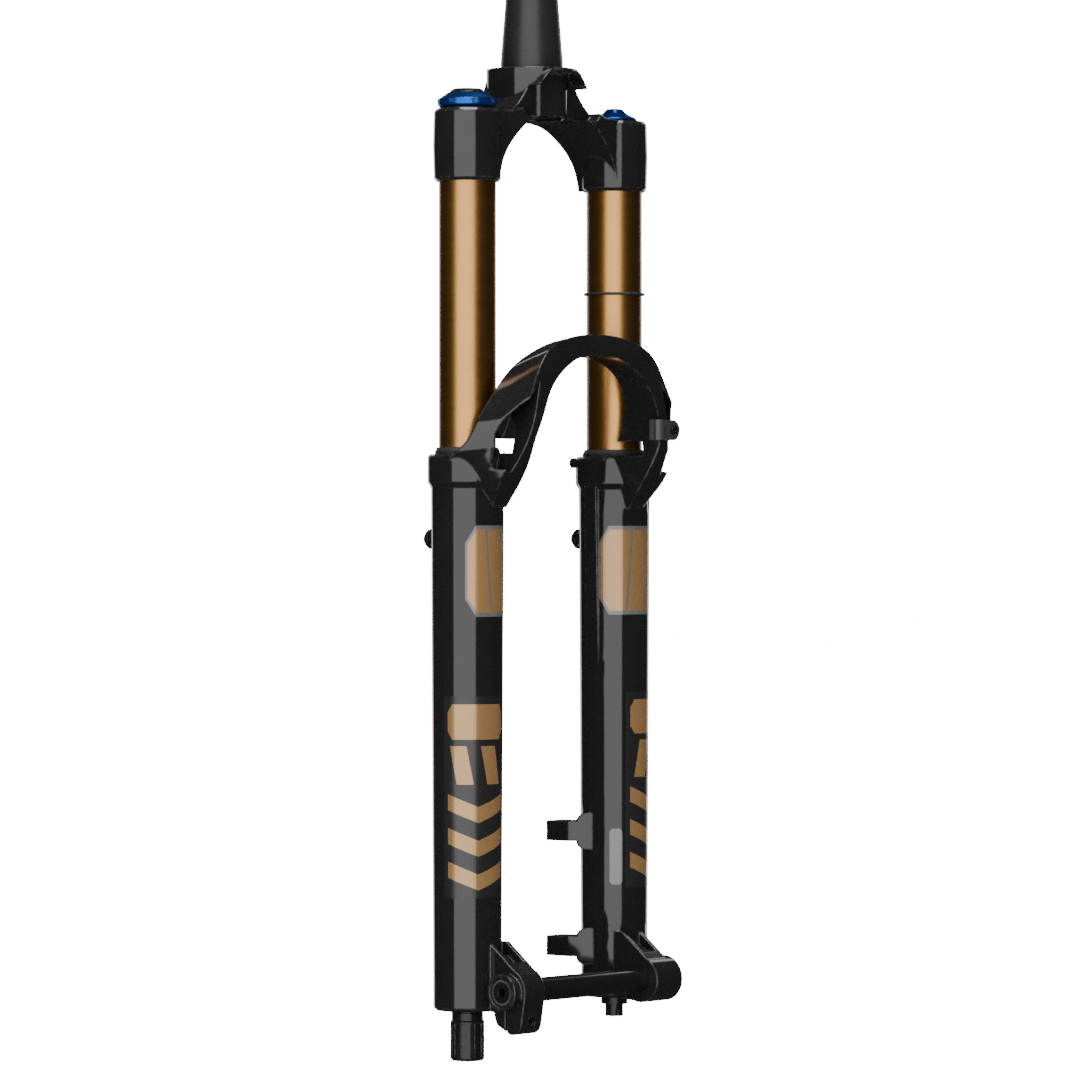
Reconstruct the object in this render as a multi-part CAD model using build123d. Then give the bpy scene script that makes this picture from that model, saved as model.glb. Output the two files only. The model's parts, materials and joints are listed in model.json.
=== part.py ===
from build123d import *
import os

# A single-crown suspension fork for a mountain bike, in millimetres.
# Origin: centre of the crown-race seat, on the steering axis. +Z runs up the steerer,
# -Y is the front of the bicycle and +X is the rider's left.

# ---- driving dimensions ----
leg_spacing = 143.0          # between the two stanchion axes
crown_offset = 8.5           # stanchion axes ahead of the steering axis
axle_offset = 44.0           # axle ahead of the steering axis
axle_to_crown = 581.0        # crown-race seat down to the axle
travel = 160.0               # slide of the lower legs
bottoming_gap = 6.5          # wiper to crown at full travel
running_gap = 0.05           # radial clearance of what slides or turns in a fit
free_gap = 0.3               # clearance between neighbours that never rub

steerer_length = 265.0
steerer_seat_radius = 19.9
steerer_shoulder = 0.3       # the pressed-in end is this much wider than the seat
steerer_seat_height = 5.0
steerer_top_radius = 14.3
steerer_taper_end = 77.0
steerer_bore_radius = 12.0
steerer_press_depth = 30.0

boss_radius = 29.0
boss_depth = 30.0
socket_radius = 21.0
socket_top = -29.5
socket_bottom = -75.0
crown_arm_front = 24.0
crown_arm_rear = 15.0

stanchion_radius = 18.0
stanchion_wall = 2.0
stanchion_top_step = 3.0
stanchion_foot_gap = 9.0

knob_radius = 19.1
knob_height = 8.8
knob_rim_height = 5.6
knob_facets = 16
dial_radius = 11.3
dial_height = 2.6
air_cap_radius = 14.4
air_cap_height = 7.8

collar_radius = 25.0
collar_height = 17.4
leg_top_radius = 22.9
leg_foot_radius = 21.3
leg_bore_radius = 19.3
leg_below_axle = 13.0
leg_floor = 10.0

wiper_radius = 20.6
wiper_lip = 4.4

bushing_length = 20.0
bushing_spacing = 92.0

arch_rise = 76.4             # apex of the arch above the collar top
arch_thickness = 14.0
arch_front = -58.0
arch_rear = -37.0
arch_loft_rear = -12.0       # planes that the two outlines of the arch are drawn in
arch_loft_front = -60.0
window_height = 9.0          # small window under each pocket, just above the collar

hub_width = 110.0
axle_radius = 7.5
axle_head_radius = 9.3
dropout_width = 25.0
dropout_radius = 14.5
pinch_drop = 19.0

post_mount_spacing = 74.2
post_mount_upper = 94.0      # upper post above the axle
post_mount_x = 48.5
post_mount_face = 22.5
post_mount_width = 16.0
post_mount_height = 12.8
post_mount_hole_radius = 2.5

bleeder_drop = 53.0          # bleeder axis below the collar top
bleeder_radius = 6.35
bleeder_reach = 33.5         # from the leg axis to the end of the button
bleeder_button_height = 5.5
bleeder_stroke = 1.5

pinch_screw_radius = 2.0
pinch_head_radius = 3.4
foot_hole_radius = 5.0
wiper_seat_radius = 22.0
wiper_seat_depth = 7.0
bleeder_stem_radius = 2.2
guide_screw_radius = 1.6

fender_boss_x = 54.0
fender_boss_y = 12.0
fender_boss_radius = 3.3
fender_screw_radius = 1.6
fender_screw_depth = 4.0

travel_ring_drop = 66.0      # travel ring below the crown sockets, as it was last left

knob_stem_radius = 6.0
dial_stem_radius = 2.5
cartridge_gap = 2.5          # between the cartridge and the stanchion's bore
cartridge_length = 290.0
damper_shaft_radius = 5.0
air_shaft_radius = 5.0
shaft_headroom = 12.0        # shaft tops below the caps at full travel
foot_thread_radius = 3.5
foot_bolt_bore = 2.0

valve_radius = 3.85
cap_thread_radius = 8.0
air_cap_scoops = 4
spacer_count = 2
spacer_height = 17.0
spacer_gap = 4.0             # between the volume spacers and the stanchion's bore

guide_thickness = 2.6
guide_height = 13.0
guide_hose_radius = 2.7

foot_cover_radius = 10.7
foot_cover_length = 30.0
foot_cover_flutes = 12

# ---- places worked out from the driving dimensions ----
leg_x = leg_spacing / 2
leg_y = -crown_offset
collar_top = socket_bottom - travel - bottoming_gap - wiper_lip
collar_bottom = collar_top - collar_height
collar_drop = -collar_height
leg_foot = -axle_to_crown - leg_below_axle
leg_inner_floor = leg_foot + leg_floor
steerer_press_radius = steerer_seat_radius + steerer_shoulder
stanchion_top = socket_top - stanchion_top_step
stanchion_bottom = leg_inner_floor + travel + stanchion_foot_gap
stanchion_bore = stanchion_radius - stanchion_wall
cartridge_radius = stanchion_bore - cartridge_gap
spacer_radius = stanchion_bore - spacer_gap
axle_y = -axle_offset
axle_z = -axle_to_crown
hub_face = hub_width / 2
dropout_face = hub_face + dropout_width
head_seat = dropout_face - 8
pinch_x = -dropout_face + 15
pinch_z = axle_z - pinch_drop
post_mount_high = axle_z + post_mount_upper
post_mount_low = post_mount_high - post_mount_spacing
bleeder_z = collar_top - bleeder_drop
fender_z = collar_top - 4
travel_ring_z = socket_bottom - travel_ring_drop
knob_low = socket_top + 1.0
cartridge_low = stanchion_top - 14 - cartridge_length
damper_shaft_high = stanchion_top - 14 - 34 - shaft_headroom - travel
air_shaft_high = stanchion_top - 14 - spacer_count * spacer_height - shaft_headroom - travel
upper_bushing_high = collar_top - wiper_seat_depth - free_gap - 8
guide_y = arch_front - 1.0
guide_z = collar_top + 16.5
guide_screw_x = leg_x - 4.5
sides = {"right": -1, "left": 1}


# ---- shared shapes ----
def rod(radius, low, high, x=0.0, y=0.0):
    """An upright solid cylinder between two heights."""
    return Pos(x, y, (low + high) / 2) * Cylinder(radius, high - low)


def tube(outer, inner, low, high, x=0.0, y=0.0):
    """An upright tube between two heights."""
    return rod(outer, low, high, x, y) - rod(inner, low - 1, high + 1, x, y)


def turned(points, x=0.0, y=0.0):
    """A solid turned from (radius, height) corners about an upright axis."""
    profile = make_face(Plane.XZ * Polyline(*points, close=True))
    return Pos(x, y, 0) * revolve(profile, Axis.Z)


def rod_x(radius, x_low, x_high, y, z):
    """A cylinder along X between two places."""
    return Pos((x_low + x_high) / 2, y, z) * Rot(0, 90, 0) * Cylinder(radius, x_high - x_low)


def rod_y(radius, y_low, y_high, x, z):
    """A cylinder along Y between two places."""
    return Pos(x, (y_low + y_high) / 2, z) * Rot(90, 0, 0) * Cylinder(radius, y_high - y_low)


def hexagon_prism(across_flats, low, high, x=0.0, y=0.0):
    """An upright hexagonal prism between two heights."""
    hexagon = RegularPolygon(across_flats / 2, 6, major_radius=False)
    return Pos(x, y, low) * extrude(hexagon, high - low)


def front_plate(outline, y_low, y_high):
    """A face drawn in X and Z, run from one Y to another."""
    return extrude(Plane.XZ.offset(-y_high) * outline, y_high - y_low)


def side_plate(outline, x_low, x_high):
    """A face drawn in Y and Z, run from one X to another."""
    return extrude(Plane.YZ.offset(x_low) * outline, x_high - x_low)


def both_halves(right_edges):
    """A face closed by its right-hand edges and their mirror image."""
    left_edges = [mirror(edge, about=Plane.YZ) for edge in right_edges]
    return make_face(right_edges + left_edges)


# ---- crown, steerer and stanchions ----
def steerer_tube():
    outside = [
        (0, -steerer_press_depth),
        (steerer_press_radius, -steerer_press_depth),
        (steerer_press_radius, 0),
        (steerer_seat_radius, 0),
        (steerer_seat_radius, steerer_seat_height),
        (steerer_top_radius, steerer_taper_end),
        (steerer_top_radius, steerer_length - 1),
        (steerer_top_radius - 1, steerer_length),
        (0, steerer_length),
    ]
    return turned(outside) - rod(steerer_bore_radius, -steerer_press_depth - 1, steerer_length + 1)


def crown_front_outline():
    """The crown seen from the front: shoulders above and an arched gap below."""
    inner_socket = leg_x - socket_radius
    foot = socket_bottom + 0.5
    edges = [
        Line((0, -1.5), (12, -1.5)),
        Spline(
            (12, -1.5),
            (22, -11),
            (0.46 * leg_x, socket_top + 5.5),
            (leg_x - 22, socket_top),
            tangents=[(1, -0.4), (1, 0)],
        ),
        Line((leg_x - 22, socket_top), (leg_x, socket_top)),
        Line((leg_x, socket_top), (leg_x, foot)),
        Line((leg_x, foot), (inner_socket + 7, foot)),
        Spline(
            (inner_socket + 7, foot),
            (inner_socket + 1.5, socket_bottom + 19),
            (0.55 * leg_x, -boss_depth - 11),
            (0, -boss_depth - 1),
            tangents=[(-0.15, 1), (-1, 0)],
        ),
    ]
    return both_halves(edges)


def crown_plan_outline():
    """The crown seen from above: a round boss and an arm to each socket."""
    front = -crown_offset - crown_arm_front + 6
    edges = [
        Line((0, -boss_radius), (6, -boss_radius)),
        Spline((6, -boss_radius), (0.4 * leg_x, front), (leg_x, -crown_offset - 13)),
        Line((leg_x, -crown_offset - 13), (leg_x, crown_arm_rear - crown_offset)),
        Spline(
            (leg_x, crown_arm_rear - crown_offset),
            (0.55 * leg_x, crown_arm_rear),
            (0, boss_radius),
        ),
    ]
    return both_halves(edges)


def crown():
    arms = front_plate(crown_front_outline(), -60, 60)
    arms &= extrude(Pos(0, 0, socket_bottom - 10) * crown_plan_outline(), 100)
    body = arms + rod(boss_radius, -boss_depth, 0)
    socket = [
        (0, socket_bottom),
        (socket_radius - 1.5, socket_bottom),
        (socket_radius, socket_bottom + 2),
        (socket_radius + 0.6, (socket_bottom + socket_top) / 2),
        (socket_radius, socket_top - 2),
        (socket_radius - 1.5, socket_top),
        (0, socket_top),
    ]
    for side in sides.values():
        body += turned(socket, side * leg_x, leg_y)
    body -= crown_scoop()
    body -= rod(steerer_press_radius, -boss_depth - 60, 1)
    for side in sides.values():
        body -= rod(stanchion_radius, socket_bottom - 1, socket_top + 1, side * leg_x, leg_y)
    return body


def crown_scoop():
    """The hollow in the crown's front, which shows the round steerer boss inside it."""
    corners = [(-15, -4), (15, -4), (38, -28), (34, -32), (-34, -32), (-38, -28)]
    mouth = make_face(Polyline(*corners, close=True))
    return front_plate(mouth, -60, -17) - rod(steerer_seat_radius + 3, -60, 0)


def stanchion(side):
    return tube(stanchion_radius, stanchion_bore, stanchion_bottom, stanchion_top, side * leg_x, leg_y)


# ---- lower legs: one casting of two legs, the arch, the dropouts and the mounts ----
def leg_shell(x):
    outside = [
        (0, leg_foot),
        (leg_foot_radius - 2, leg_foot),
        (leg_foot_radius, leg_foot + 2),
        (leg_top_radius, collar_bottom - 4),
        (collar_radius, collar_bottom),
        (collar_radius, collar_top - 1.5),
        (collar_radius - 1.5, collar_top),
        (0, collar_top),
    ]
    return turned(outside, x, leg_y)


def arch_outline(outer_points, foot_points, inner_points):
    """Half of the arch seen from the front, mirrored; heights are above the collars."""
    def raised(points):
        return [(x, collar_top + height) for x, height in points]

    outer = raised(outer_points)
    inner = raised(inner_points)
    edges = [
        Spline(*outer, tangents=[(1, 0), (0, -1)]),
        Polyline(outer[-1], *raised(foot_points), inner[0]),
        Spline(*inner, tangents=[(0, 1), (-1, 0)]),
    ]
    return both_halves(edges)


def arch_front_outline():
    outer = [
        (0, arch_rise),
        (0.41 * leg_x, arch_rise - 2.5),
        (0.70 * leg_x, arch_rise - 11.5),
        (0.86 * leg_x, arch_rise - 28),
        (leg_x - 1, arch_rise - 45),
        (leg_x + 5, 6),
    ]
    foot = [(leg_x + 1, -16), (leg_x - 5, collar_drop - 16), (leg_x - 8, collar_drop - 16)]
    inner = [
        (leg_x - 8.5, 1),
        (leg_x - 14, 21),
        (0.68 * leg_x, arch_rise - 36.5),
        (0.39 * leg_x, arch_rise - arch_thickness - 5),
        (0, arch_rise - arch_thickness),
    ]
    return arch_outline(outer, foot, inner)


def arch_rear_outline():
    outer = [
        (0, arch_rise - 5.5),
        (0.41 * leg_x, arch_rise - 12.5),
        (0.74 * leg_x, arch_rise - 24),
        (leg_x + 4.5, arch_rise - 35.5),
        (leg_x + 26, 19),
        (leg_x + 28, 1),
    ]
    foot = [(leg_x + 20, -16), (leg_x + 6, collar_drop - 16), (leg_x - 14, collar_drop - 16)]
    inner = [
        (leg_x - 24, 1),
        (leg_x - 21, 22),
        (leg_x - 18.5, arch_rise - 35),
        (0.49 * leg_x, arch_rise - arch_thickness - 4.5),
        (0, arch_rise - arch_thickness - 0.5),
    ]
    return arch_outline(outer, foot, inner)


def arch_band():
    """The strap that the arch is cut from, between its front and rear outlines."""
    rear = Plane.XZ.offset(-arch_loft_rear) * arch_rear_outline()
    front = Plane.XZ.offset(-arch_loft_front) * arch_front_outline()
    return loft([rear, front], ruled=True)


def arch_side_outline(front_inset=0.0, rear_inset=0.0):
    """The arch seen from the side: it leans forward from the collars to its apex."""
    front = arch_front + front_inset
    rear = arch_rear - rear_inset
    leg_front = leg_y - leg_top_radius
    top = collar_top + arch_rise + 2
    edges = [
        Spline(
            (rear - 1, top),
            (rear + 4, collar_top + 34),
            (leg_y - 20 - rear_inset, collar_top + 12),
            (leg_y - 6 - rear_inset, collar_top - 2),
        ),
        Line((leg_y - 6 - rear_inset, collar_top - 2), (leg_y - 6 - rear_inset, collar_bottom - 18)),
        Line((leg_y - 6 - rear_inset, collar_bottom - 18), (leg_front + 2, collar_bottom - 18)),
        Spline(
            (leg_front + 2, collar_bottom - 18),
            (leg_front - 13 + front_inset, collar_bottom + 3),
            (front, collar_top + 18),
            (front, collar_top + 48),
            (front + 3, top),
            tangents=[(-0.6, 1), (0.25, 1)],
        ),
        Line((front + 3, top), (rear - 1, top)),
    ]
    return make_face(edges)


def arch():
    width = leg_x + collar_radius + 10
    return arch_band() & side_plate(arch_side_outline(), -width, width)


def arch_pocket(side):
    """The hollow in the front of one strand, between its outer band and its inner fin."""
    edges = [
        Spline(
            (leg_x - 12.5, collar_top + 46),
            (leg_x - 9.5, collar_top + 34),
            (leg_x - 5.5, collar_top + 16),
            (leg_x - 2.5, collar_top + 3),
            (leg_x + 1.5, collar_bottom + 6),
        ),
        Line((leg_x + 1.5, collar_bottom + 6), (leg_x + 11, collar_bottom + 8)),
        Spline(
            (leg_x + 11, collar_bottom + 8),
            (leg_x + 13, collar_top + 3),
            (leg_x + 11.5, collar_top + 17),
            (leg_x + 1, collar_top + 31),
            (leg_x - 12.5, collar_top + 46),
        ),
    ]
    mouth = front_plate(make_face(edges), -90, 40)
    depth = side_plate(arch_side_outline(front_inset=-20, rear_inset=6), 0, leg_x + collar_radius + 1)
    window = Pos(leg_x - 8, leg_y - 20, collar_top + window_height / 2 + 0.5)
    pocket = (mouth & depth) + window * Box(26, 31, window_height)
    return pocket if side > 0 else mirror(pocket, about=Plane.YZ)


def dropout(side):
    """The forward lug that carries one end of the axle, with a shallow tray in its sloping top."""
    leg_front = leg_y - leg_foot_radius
    slope_top = axle_z + 30
    plate_outer = dropout_face - 6
    outline = make_hull(
        Polyline((leg_y, slope_top), (leg_front + 1, slope_top), (leg_front + 1, leg_foot + 2),
                 (leg_y, leg_foot + 2), close=True).edges()
        + (Pos(axle_y, axle_z) * CenterArc((0, 0), dropout_radius - 0.5, 0, 360)).edges()
    )
    lug = side_plate(outline, hub_face, plate_outer)
    tray = make_hull(
        Polyline(
            (leg_y, slope_top - 9), (leg_front - 1, slope_top - 9), (leg_y, axle_z), close=True).edges()
        + (Pos(axle_y, axle_z) * CenterArc((0, 0), dropout_radius - 4, 0, 360)).edges()
    )
    above_axle = Pos(0, axle_y, axle_z + dropout_radius + 3 + 20) * Box(300, 80, 40)
    skin = side_plate(outline, hub_face + 3, plate_outer - 3) - side_plate(tray, 0, 100)
    lug -= skin & above_axle
    lug += rod_x(dropout_radius if side > 0 else 11.5, hub_face, dropout_face, axle_y, axle_z)
    return lug if side > 0 else mirror(lug, about=Plane.YZ)


def pinch_lug():
    """The clamp that hangs below the right axle hole."""
    low = axle_z - pinch_drop
    outline = make_hull(
        (Pos(axle_y, axle_z) * CenterArc((0, 0), dropout_radius, 0, 360)).edges()
        + (Pos(axle_y - 4, low) * CenterArc((0, 0), 7.5, 0, 360)).edges()
        + (Pos(axle_y + 5, low + 2) * CenterArc((0, 0), 5, 0, 360)).edges()
    )
    return side_plate(outline, -dropout_face + 6, -hub_face)


def post_mount(z):
    """One brake post: an arm from the left leg to a flat face that looks backwards."""
    x_low = post_mount_x - post_mount_width / 2
    x_high = post_mount_x + post_mount_width / 2
    root = leg_y - 3
    plan = make_face(Polyline(
        (x_low, post_mount_face), (x_high, post_mount_face), (x_high + 3, post_mount_face - 10),
        (leg_x, 8), (leg_x, root), (leg_x - 20, root), (x_low, post_mount_face - 18), close=True))
    half = post_mount_height / 2
    flare = 5.5
    edges = []
    for sign in (1, -1):
        edges.append(Line((post_mount_face, sign * half), (0, sign * half)))
        edges.append(RadiusArc((0, sign * half), (-flare, sign * (half + flare)), -sign * flare))
        edges.append(Line((-flare, sign * (half + flare)), (root, sign * (half + flare))))
    edges.append(Line((post_mount_face, half), (post_mount_face, -half)))
    edges.append(Line((root, half + flare), (root, -half - flare)))
    profile = make_face(edges)
    arm = extrude(Pos(0, 0, -40) * plan, 80) & side_plate(profile, 0, 120)
    return Pos(0, 0, z) * arm


def bleeder_boss(side):
    end = leg_y + bleeder_reach - bleeder_button_height - bleeder_stroke
    return rod_y(bleeder_radius, leg_y + leg_bore_radius, end, side * leg_x, bleeder_z)


def fender_boss(side):
    return rod_y(fender_boss_radius, leg_y + 10, fender_boss_y, side * fender_boss_x, fender_z)


def inboard_rib(side):
    """A low rib down the inboard face of a leg that fades out as it goes down."""
    high = collar_bottom - 2
    low = high - 135
    ridge = make_face(Polyline(
        (leg_x - leg_top_radius - 1.6, high), (leg_x - 10, high), (leg_x - 10, low),
        (leg_x - leg_foot_radius, low), close=True))
    rib = front_plate(ridge, leg_y - 5, leg_y + 5)
    return rib if side > 0 else mirror(rib, about=Plane.YZ)


def lower_legs():
    body = arch()
    for side in sides.values():
        body -= arch_pocket(side)
    body += hose_guide_boss()
    for side in sides.values():
        body += leg_shell(side * leg_x)
        body += dropout(side) + bleeder_boss(side) + fender_boss(side) + inboard_rib(side)
    body += pinch_lug()
    for z in (post_mount_high, post_mount_low):
        body += post_mount(z)
    for side in sides.values():
        body -= leg_bores(side)
    return body - dropout_holes() - small_holes()


def leg_bores(side):
    """The bore for the bushings, the seat for the wiper, the way above it and the foot hole."""
    x = side * leg_x
    bore = rod(leg_bore_radius, leg_inner_floor, collar_top + 1, x, leg_y)
    bore += rod(wiper_seat_radius, collar_top - wiper_seat_depth, collar_top + 1, x, leg_y)
    bore += rod(collar_radius - 1, collar_top, collar_top + arch_rise + 5, x, leg_y)
    return bore + rod(foot_hole_radius, leg_foot - 20, leg_inner_floor + 1, x, leg_y)


def dropout_holes():
    holes = rod_x(axle_radius + running_gap, -dropout_face - 1, dropout_face + 1, axle_y, axle_z)
    holes += rod_x(axle_head_radius + running_gap, -dropout_face - 1, -head_seat, axle_y, axle_z)
    slot_top = axle_z
    slot_bottom = axle_z - pinch_drop - 15
    slot = Pos(-(hub_face + dropout_face) / 2, axle_y + 1, (slot_top + slot_bottom) / 2)
    holes += slot * Box(dropout_width + 4, 1.6, slot_top - slot_bottom)
    holes += rod_y(pinch_screw_radius, axle_y - 40, axle_y + 30, pinch_x, pinch_z)
    holes += rod_y(pinch_head_radius + free_gap, axle_y - 40, axle_y - 8, pinch_x, pinch_z)
    return holes


def small_holes():
    """The threads for the brake, the fender and the hose guide, and the bleeder ports."""
    holes = Part()
    for z in (post_mount_high, post_mount_low):
        holes += rod_y(post_mount_hole_radius, post_mount_face - 15, post_mount_face + 1, post_mount_x, z)
    for side in sides.values():
        holes += rod_y(fender_screw_radius, fender_boss_y - fender_screw_depth, fender_boss_y + 1,
                       side * fender_boss_x, fender_z)
        holes += rod_y(bleeder_stem_radius + running_gap, leg_y + leg_bore_radius - 3,
                       leg_y + bleeder_reach, side * leg_x, bleeder_z)
    return holes + rod_y(guide_screw_radius, guide_y - 1, guide_y + 9, guide_screw_x, guide_z)


def hose_guide_boss():
    """A post inside the left strand that the hose guide is screwed to."""
    return rod_y(5, guide_y, leg_y - 12, guide_screw_x, guide_z)


# ---- seals and bushings inside the lower legs ----
def wiper_seal(side):
    inner = stanchion_radius + running_gap
    points = [
        (inner, collar_top - wiper_seat_depth),
        (wiper_seat_radius, collar_top - wiper_seat_depth),
        (wiper_seat_radius, collar_top),
        (wiper_radius, collar_top),
        (wiper_radius - 0.4, collar_top + 2.4),
        (inner + 1.1, collar_top + wiper_lip),
        (inner, collar_top + wiper_lip),
    ]
    return turned(points, side * leg_x, leg_y)


def foam_ring(side):
    high = collar_top - wiper_seat_depth - free_gap
    return tube(leg_bore_radius, stanchion_radius + running_gap, high - 8, high, side * leg_x, leg_y)


def bushing(side, high):
    return tube(leg_bore_radius, stanchion_radius + running_gap, high - bushing_length, high,
                side * leg_x, leg_y)


def travel_ring():
    section = Pos(stanchion_radius + 0.95, travel_ring_z) * Circle(0.9)
    ring = revolve(Plane.XZ * section, Axis.Z)
    return Pos(leg_x, leg_y, 0) * ring


# ---- damper, in the right leg ----
def damper_top_cap():
    x = -leg_x
    points = [
        (0, stanchion_top - 14),
        (stanchion_bore, stanchion_top - 14),
        (stanchion_bore, stanchion_top),
        (stanchion_radius - 0.2, stanchion_top),
        (stanchion_radius - 0.2, socket_top - 0.4),
        (stanchion_radius - 0.8, socket_top + 0.2),
        (knob_stem_radius, socket_top + 0.2),
        (knob_stem_radius, knob_low + 5),
        (0, knob_low + 5),
    ]
    stem_bore = rod(dial_stem_radius + running_gap, knob_low - 9, knob_low + 6, x, leg_y)
    return turned(points, x, leg_y) - stem_bore


def compression_knob():
    """The wide faceted knob: flat-sided rim, bevelled top and a dished middle for the dial."""
    x = -leg_x
    facets = RegularPolygon(knob_radius, knob_facets)
    rim = extrude(facets, knob_height)
    shape = turned([
        (0, 0), (knob_radius - 1.6, 0), (knob_radius - 0.3, 1.2),
        (knob_radius - 0.3, knob_rim_height - 0.6), (knob_radius - 1.6, knob_rim_height),
        (dial_radius + 4, knob_height - 1.6),
        (dial_radius + 1.6, knob_height), (0, knob_height)])
    body = rim & shape
    body -= rod(dial_radius + free_gap, knob_height - 1.6, knob_height + 1)
    body -= rod(knob_stem_radius + running_gap, -1, knob_height + 1)
    return Pos(x, leg_y, knob_low) * body


def notches_round(radius, depth, low, high, count, width):
    """Upright slots spread evenly round a turned part."""
    slots = Part()
    for number in range(count):
        slot = Pos(radius, 0, (low + high) / 2) * Box(2 * depth, width, high - low)
        slots += Rot(0, 0, 360 / count * number) * slot
    return slots


def compression_dial():
    """The small domed dial in the middle of the wide knob, on its own stem."""
    low = knob_low + knob_height - 1.4
    dome = [
        (0, -10), (dial_stem_radius, -10), (dial_stem_radius, 0), (dial_radius, 0), (dial_radius, 2.2),
        (dial_radius - 2.2, 4.2), (dial_radius - 6, dial_height + 0.7), (0, dial_height + 1.1)]
    body = turned(dome) - notches_round(dial_radius, 2.2, 1.4, dial_height + 3, 4, 3.0)
    body -= Pos(0, 0, dial_height) * hexagon_prism(4.0, -2, 3)
    return Pos(-leg_x, leg_y, low) * body


def damper_cartridge():
    high = stanchion_top - 14
    return tube(cartridge_radius, cartridge_radius - 1, cartridge_low, high, -leg_x, leg_y)


def compression_valve():
    high = stanchion_top - 14
    bore = cartridge_radius - 1
    points = [
        (0, high - 34), (5, high - 34), (5, high - 22), (bore, high - 22), (bore, high - 12),
        (7, high - 12), (7, high), (0, high)]
    return turned(points, -leg_x, leg_y)


def damper_seal_head():
    bore = cartridge_radius - 1
    points = [
        (damper_shaft_radius + running_gap, cartridge_low - 8), (cartridge_radius, cartridge_low - 8),
        (cartridge_radius, cartridge_low), (bore, cartridge_low), (bore, cartridge_low + 14),
        (damper_shaft_radius + running_gap, cartridge_low + 14)]
    return turned(points, -leg_x, leg_y)


def damper_piston():
    outer = cartridge_radius - 1 - running_gap
    return tube(outer, damper_shaft_radius, damper_shaft_high - 12, damper_shaft_high, -leg_x, leg_y)


def foot_shaft(side, radius, high):
    """A hollow shaft that stands on the leg's floor and runs up into the stanchion."""
    return tube(radius, foot_thread_radius, leg_inner_floor, high, side * leg_x, leg_y)


def foot_bolt(side, wide):
    """The hollow bolt under a leg that clamps the shaft to the leg's floor."""
    x = side * leg_x
    points = [
        (foot_bolt_bore, leg_foot - 5), (wide, leg_foot - 5), (wide, leg_foot - free_gap / 3),
        (foot_hole_radius - 0.05, leg_foot - free_gap / 3), (foot_hole_radius - 0.05, leg_inner_floor),
        (foot_thread_radius, leg_inner_floor), (foot_thread_radius, leg_inner_floor + 14),
        (foot_bolt_bore, leg_inner_floor + 14)]
    return turned(points, x, leg_y)


def rebound_adjuster():
    """The turned knob under the right leg, hidden by its cover, on a rod up the hollow bolt."""
    head_high = leg_foot - 6
    stem = rod(foot_bolt_bore - running_gap, head_high, leg_inner_floor + 30, -leg_x, leg_y)
    head = rod(7.0, head_high - 9, head_high, -leg_x, leg_y)
    grooves = Pos(-leg_x, leg_y, 0) * notches_round(7.0, 0.8, head_high - 10, head_high - 1, 12, 1.4)
    return stem + head - grooves


def foot_cover():
    """The long fluted cap that pushes on over the rebound adjuster."""
    high = leg_foot - 1.6
    low = high - foot_cover_length
    radius = foot_cover_radius
    points = [
        (0, low), (radius - 1.5, low), (radius, low + 1.5), (radius, high - 5.5),
        (radius - 0.8, high - 4.5), (radius - 0.8, high), (0, high)]
    body = turned(points) - rod(8.2, low + 3, high + 1)
    body -= notches_round(radius, 0.6, low + 2.2, high - 6.5, foot_cover_flutes, 2.6)
    return Pos(-leg_x, leg_y, 0) * body


# ---- air spring, in the left leg ----
def air_top_cap():
    points = [
        (valve_radius, stanchion_top - 14), (stanchion_bore, stanchion_top - 14),
        (stanchion_bore, stanchion_top), (stanchion_radius - 0.2, stanchion_top),
        (stanchion_radius - 0.2, socket_top - 0.4), (stanchion_radius - 0.8, socket_top + 0.2),
        (cap_thread_radius, socket_top + 0.2), (cap_thread_radius, socket_top + 3),
        (valve_radius, socket_top + 3)]
    return turned(points, leg_x, leg_y)


def air_valve():
    points = [
        (0, stanchion_top - 14), (valve_radius, stanchion_top - 14), (valve_radius, socket_top + 4.2),
        (valve_radius - 0.6, socket_top + 4.8), (0, socket_top + 4.8)]
    bore = rod(1.9, socket_top - 3, socket_top + 6, leg_x, leg_y)
    pin = rod(0.8, socket_top - 3.5, socket_top + 4, leg_x, leg_y)
    return turned(points, leg_x, leg_y) - bore + pin


def air_cap():
    """The winged cap over the air valve, with scoops round it for the fingers."""
    radius = air_cap_radius
    points = [
        (0, 0), (radius - 0.5, 0), (radius, 0.6), (radius, 1.5), (radius - 3, 3.0), (7.5, 5.0),
        (5.5, air_cap_height - 0.6), (4.0, air_cap_height), (0, air_cap_height)]
    body = turned(points)
    body -= rod(cap_thread_radius + running_gap, -1, 2.6) + rod(valve_radius + 0.6, 0, 4.8)
    for number in range(air_cap_scoops):
        scoop = Pos(11.5, 0, 6.9) * Rot(0, 64, 0) * Cylinder(4.4, 12)
        body -= Rot(0, 0, 360 / air_cap_scoops * number) * scoop
    return Pos(leg_x, leg_y, socket_top + 0.6) * body


def volume_spacer(number):
    """One of the plugs stacked under the air cap to take up air volume."""
    top = stanchion_top - 14 - number * spacer_height
    low = top - spacer_height
    points = [
        (0, low), (spacer_radius - 1, low), (spacer_radius, low + 1), (spacer_radius, top - 1.5),
        (spacer_radius - 1.5, top), (0, top)]
    return turned(points, leg_x, leg_y)


def air_piston():
    outer = stanchion_bore - running_gap
    groove = tube(outer + 1, outer - 1.2, air_shaft_high - 8, air_shaft_high - 5, leg_x, leg_y)
    return tube(outer, air_shaft_radius, air_shaft_high - 13, air_shaft_high, leg_x, leg_y) - groove


def air_seal_head():
    points = [
        (air_shaft_radius + running_gap, stanchion_bottom - 3),
        (stanchion_radius - 0.4, stanchion_bottom - 3),
        (stanchion_radius - 0.4, stanchion_bottom), (stanchion_bore, stanchion_bottom),
        (stanchion_bore, stanchion_bottom + 15), (air_shaft_radius + running_gap, stanchion_bottom + 15)]
    return turned(points, leg_x, leg_y)


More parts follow.
